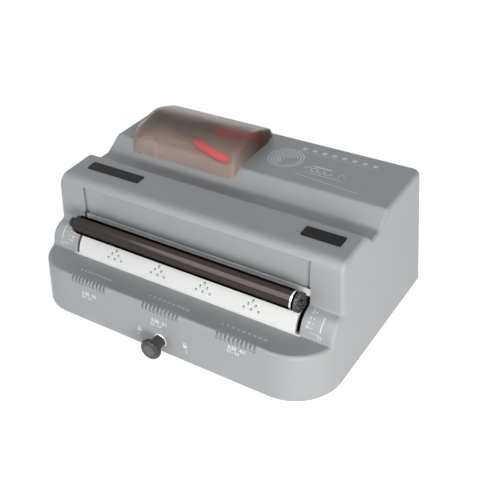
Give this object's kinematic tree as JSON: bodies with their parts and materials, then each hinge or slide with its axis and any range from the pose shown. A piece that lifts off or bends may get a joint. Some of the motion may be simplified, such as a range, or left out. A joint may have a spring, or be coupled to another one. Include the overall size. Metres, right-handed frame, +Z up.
{
  "type": "coil binding machine",
  "caption": "Bench-top coil binding machine: driven roller on locking swing arms over a curved gauge plate, stepped housing, smoked hinged lid over a tray with crimping pliers.",
  "frame": {"origin": "on the floor under the middle of the overall box", "axes": "X to the machine's right, Y to the back, Z up; the knob and shelf face -Y"},
  "size_m": [0.43, 0.33, 0.1955],
  "materials": {
    "casing_grey": "satin silver-grey moulding with a fine texture",
    "zinc_sheet": "zinc-plated sheet",
    "steel": "bright steel",
    "dark_steel": "blackened steel",
    "tool_steel": "ground tool steel",
    "black_rubber": "matt black rubber",
    "white_sheet": "smooth white enamel",
    "black_plastic": "black moulding",
    "bronze": "sintered bronze",
    "cast_alloy": "machined alloy",
    "motor_can": "dark enamelled can",
    "chrome": "polished",
    "roller_chrome": "dark polished roller",
    "tray_grey": "grey moulding",
    "red_grip": "red dipped plastic",
    "board_green": "green circuit board",
    "core_steel": "varnished laminations",
    "copper": "enamelled copper winding",
    "brake_lining": "pressed friction lining",
    "smoked_clear": "clear smoke-brown moulding"
  },
  "bodies": {
    "frame_body": {"casing": "casing_grey", "base_plate": "zinc_sheet", "base_screws": "steel", "rubber_feet": "black_rubber", "foot_studs": "steel", "bracket_screws": "steel", "backing_plate": "white_sheet", "name_plates": "black_plastic", "pedestal_left": "zinc_sheet", "pedestal_right": "zinc_sheet", "pivot_bushes": "bronze", "motor_bracket": "zinc_sheet", "gearbox": "cast_alloy", "motor": "motor_can", "motor_belt": "black_rubber", "lock_bushing": "chrome", "lock_nut": "steel", "brake_guide": "zinc_sheet", "lid_hinge_bracket": "black_plastic", "lid_hinge_pin": "steel", "storage_tray": "tray_grey", "pliers_lever_fixed": "tool_steel", "pliers_grip_fixed": "red_grip", "pliers_rivet": "steel", "power_inlet": "black_plastic", "inlet_pins": "steel", "switch_bezel": "black_plastic", "pedal_jack": "black_plastic", "jack_nut": "chrome", "board_standoffs": "bronze", "control_board": "board_green", "board_parts": "black_plastic", "transformer_core": "core_steel", "transformer_coil": "copper", "transformer_strap": "zinc_sheet"},
    "roller_arms": {"arm_left": "dark_steel", "arm_right": "dark_steel", "cross_tube": "steel", "shaft_bushes": "bronze", "roller_bushes": "bronze", "brake_drum": "cast_alloy", "roller_belt": "black_rubber"},
    "roller": {"roller_tube": "roller_chrome", "roller_plugs": "dark_steel", "roller_pulley": "black_plastic", "roller_end_disc": "dark_steel"},
    "drive_shaft_body": {"drive_shaft": "steel", "arm_drive_pulley": "black_plastic", "shaft_pulley": "cast_alloy"},
    "motor_rotor": {"motor_shaft": "steel", "motor_pulley": "cast_alloy"},
    "lock": {"lock_knob": "black_plastic", "lock_shaft": "steel", "lock_cam": "dark_steel"},
    "brake": {"brake_shoe": "cast_alloy", "brake_lining": "brake_lining"},
    "lid_body": {"lid": "smoked_clear"},
    "rocker": {"switch_rocker": "black_plastic"},
    "pliers_handle": {"pliers_lever_moving": "tool_steel", "pliers_grip_moving": "red_grip"}
  },
  "joints": [
    {"name": "arm_swing", "type": "hinge", "parent": "frame_body", "child": "roller_arms", "pos_m": [0, -0.033, 0.063], "axis": [1, 0, 0], "range_deg": [0, 22]},
    {"name": "roller_spin", "type": "hinge", "parent": "roller_arms", "child": "roller", "pos_m": [0, -0.095, 0.1112], "axis": [1, 0, 0], "continuous": true},
    {"name": "drive_shaft_spin", "type": "hinge", "parent": "roller_arms", "child": "drive_shaft_body", "pos_m": [0, -0.033, 0.063], "axis": [1, 0, 0], "continuous": true},
    {"name": "motor_spin", "type": "hinge", "parent": "frame_body", "child": "motor_rotor", "pos_m": [0, 0.047, 0.041], "axis": [1, 0, 0], "continuous": true},
    {"name": "lock_turn", "type": "hinge", "parent": "frame_body", "child": "lock", "pos_m": [0, -0.143, 0.019], "axis": [0, 1, 0], "range_deg": [0, 90]},
    {"name": "brake_lift", "type": "slide", "parent": "frame_body", "child": "brake", "axis": [0, 0, 1], "range_m": [-0.0013, 0]},
    {"name": "lid_hinge", "type": "hinge", "parent": "frame_body", "child": "lid_body", "pos_m": [-0.0795, 0.1365, 0.17555], "axis": [-1, 0, 0], "range_deg": [0, 100]},
    {"name": "switch_rock", "type": "hinge", "parent": "frame_body", "child": "rocker", "pos_m": [0.112, 0.1474, 0.037], "axis": [-1, 0, 0], "range_deg": [0, 16]},
    {"name": "pliers_close", "type": "hinge", "parent": "frame_body", "child": "pliers_handle", "pos_m": [-0.118, 0.09576, 0.17305], "axis": [0, -0.0368, 0.9993], "range_deg": [0, 16]}
  ],
  "couplings": [
    {"joint": "drive_shaft_spin", "follows": "roller_spin", "ratio": 1},
    {"joint": "motor_spin", "follows": "roller_spin", "ratio": 2.4444},
    {"joint": "brake_lift", "follows": "lock_turn", "m_per_rad": -0.000764}
  ]
}
